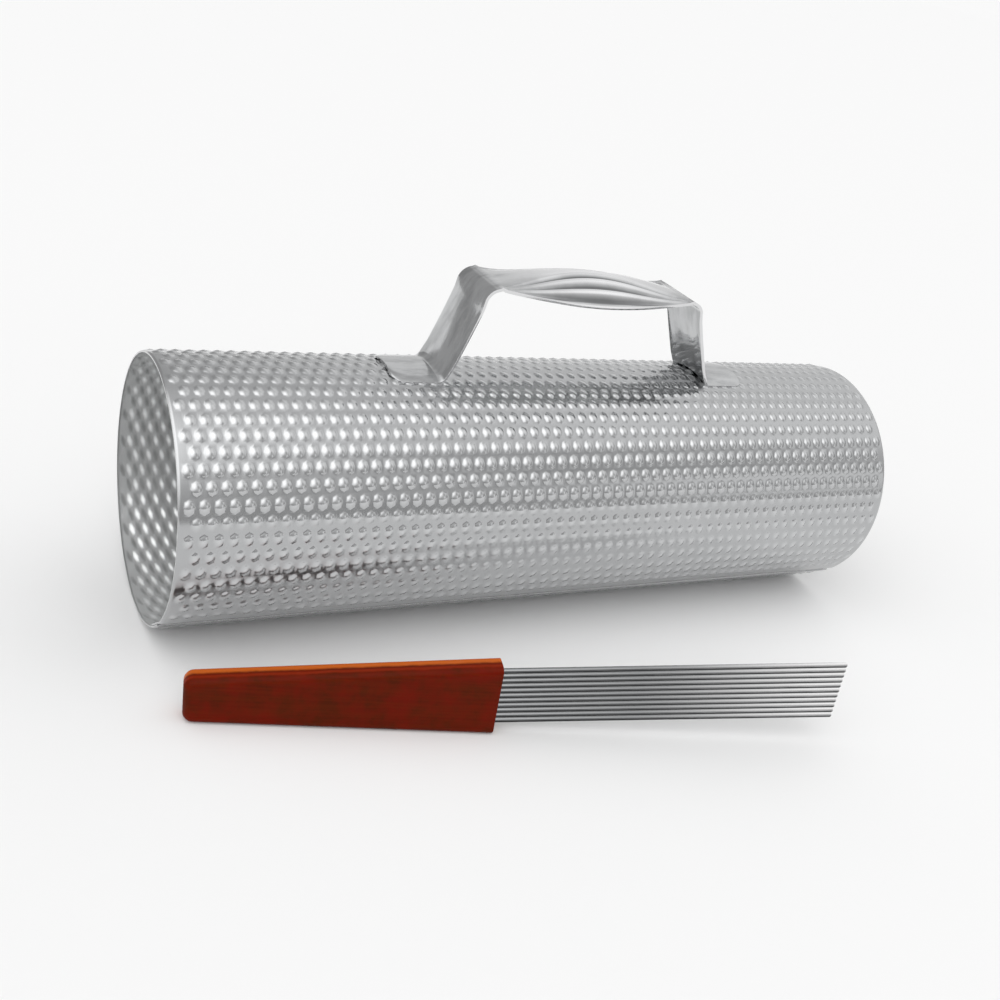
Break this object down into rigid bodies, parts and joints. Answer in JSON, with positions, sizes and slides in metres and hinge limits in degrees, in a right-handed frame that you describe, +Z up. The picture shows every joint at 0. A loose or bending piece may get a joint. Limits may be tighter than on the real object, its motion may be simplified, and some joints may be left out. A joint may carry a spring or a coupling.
{
  "type": "metal guiro with scraper",
  "caption": "Hand-held percussion tube of embossed sheet steel, open at both ends, with a stamped strap handle and a wire-tined scraper with a varnished wooden handle.",
  "frame": {"origin": "flat top of the middle bump under the tube, where the guiro rests on the floor", "axes": "+X along the tube, +Z up through the handle, +Y away from the scraper"},
  "size_m": [0.318, 0.181, 0.1429],
  "materials": {
    "embossed_sheet": "bright embossed sheet",
    "bright_strap": "bright stamped strap",
    "varnished_wood": "dark red-brown gloss varnish",
    "spring_wire": "drawn spring wire"
  },
  "bodies": {
    "guiro": {"body_shell": "embossed_sheet", "handle": "bright_strap"},
    "scraper": {"scraper_handle": "varnished_wood", "tine_01": "spring_wire", "tine_02": "spring_wire", "tine_03": "spring_wire", "tine_04": "spring_wire", "tine_05": "spring_wire", "tine_06": "spring_wire", "tine_07": "spring_wire", "tine_08": "spring_wire", "tine_09": "spring_wire", "tine_10": "spring_wire", "tine_11": "spring_wire"}
  },
  "joints": [
    {"name": "scraper_stroke", "type": "slide", "parent": "guiro", "child": "scraper", "axis": [1, 0, 0], "range_m": [-0.08, 0.08]}
  ]
}
